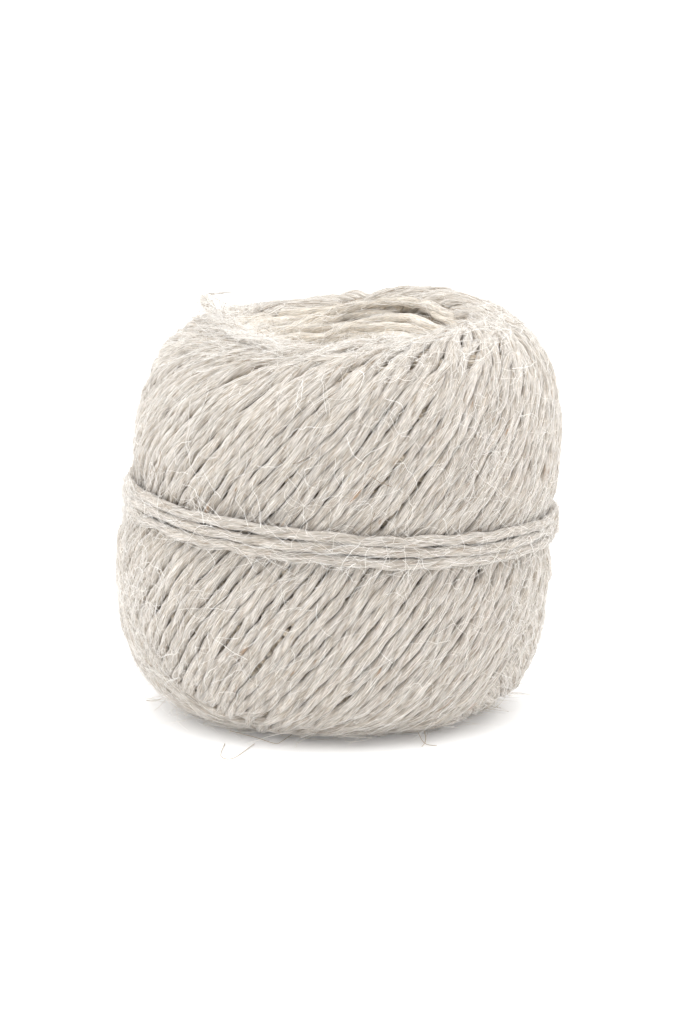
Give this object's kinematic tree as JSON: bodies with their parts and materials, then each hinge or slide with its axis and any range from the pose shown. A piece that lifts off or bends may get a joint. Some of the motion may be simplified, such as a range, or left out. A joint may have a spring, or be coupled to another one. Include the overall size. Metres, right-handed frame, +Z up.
{
  "type": "ball of string",
  "caption": "Barrel-shaped ball of natural two-ply twine, cross-wound round an open middle, with turns tied round its waist and a loose end at the rim.",
  "frame": {"origin": "centre of the flat spot that the ball rests on", "axes": "+Z up through the ball's open middle, -Y towards the front, +X to the right seen from the front"},
  "size_m": [0.0846, 0.0838, 0.0795],
  "materials": {
    "natural_twine": "matt unbleached bast fibre, slightly hairy",
    "waist_twine": "matt unbleached bast fibre, drawn tight",
    "end_twine": "matt unbleached bast fibre, frayed"
  },
  "bodies": {
    "root": {"wound_ball": "natural_twine", "waist_band": "waist_twine", "loose_end": "end_twine"}
  },
  "joints": []
}
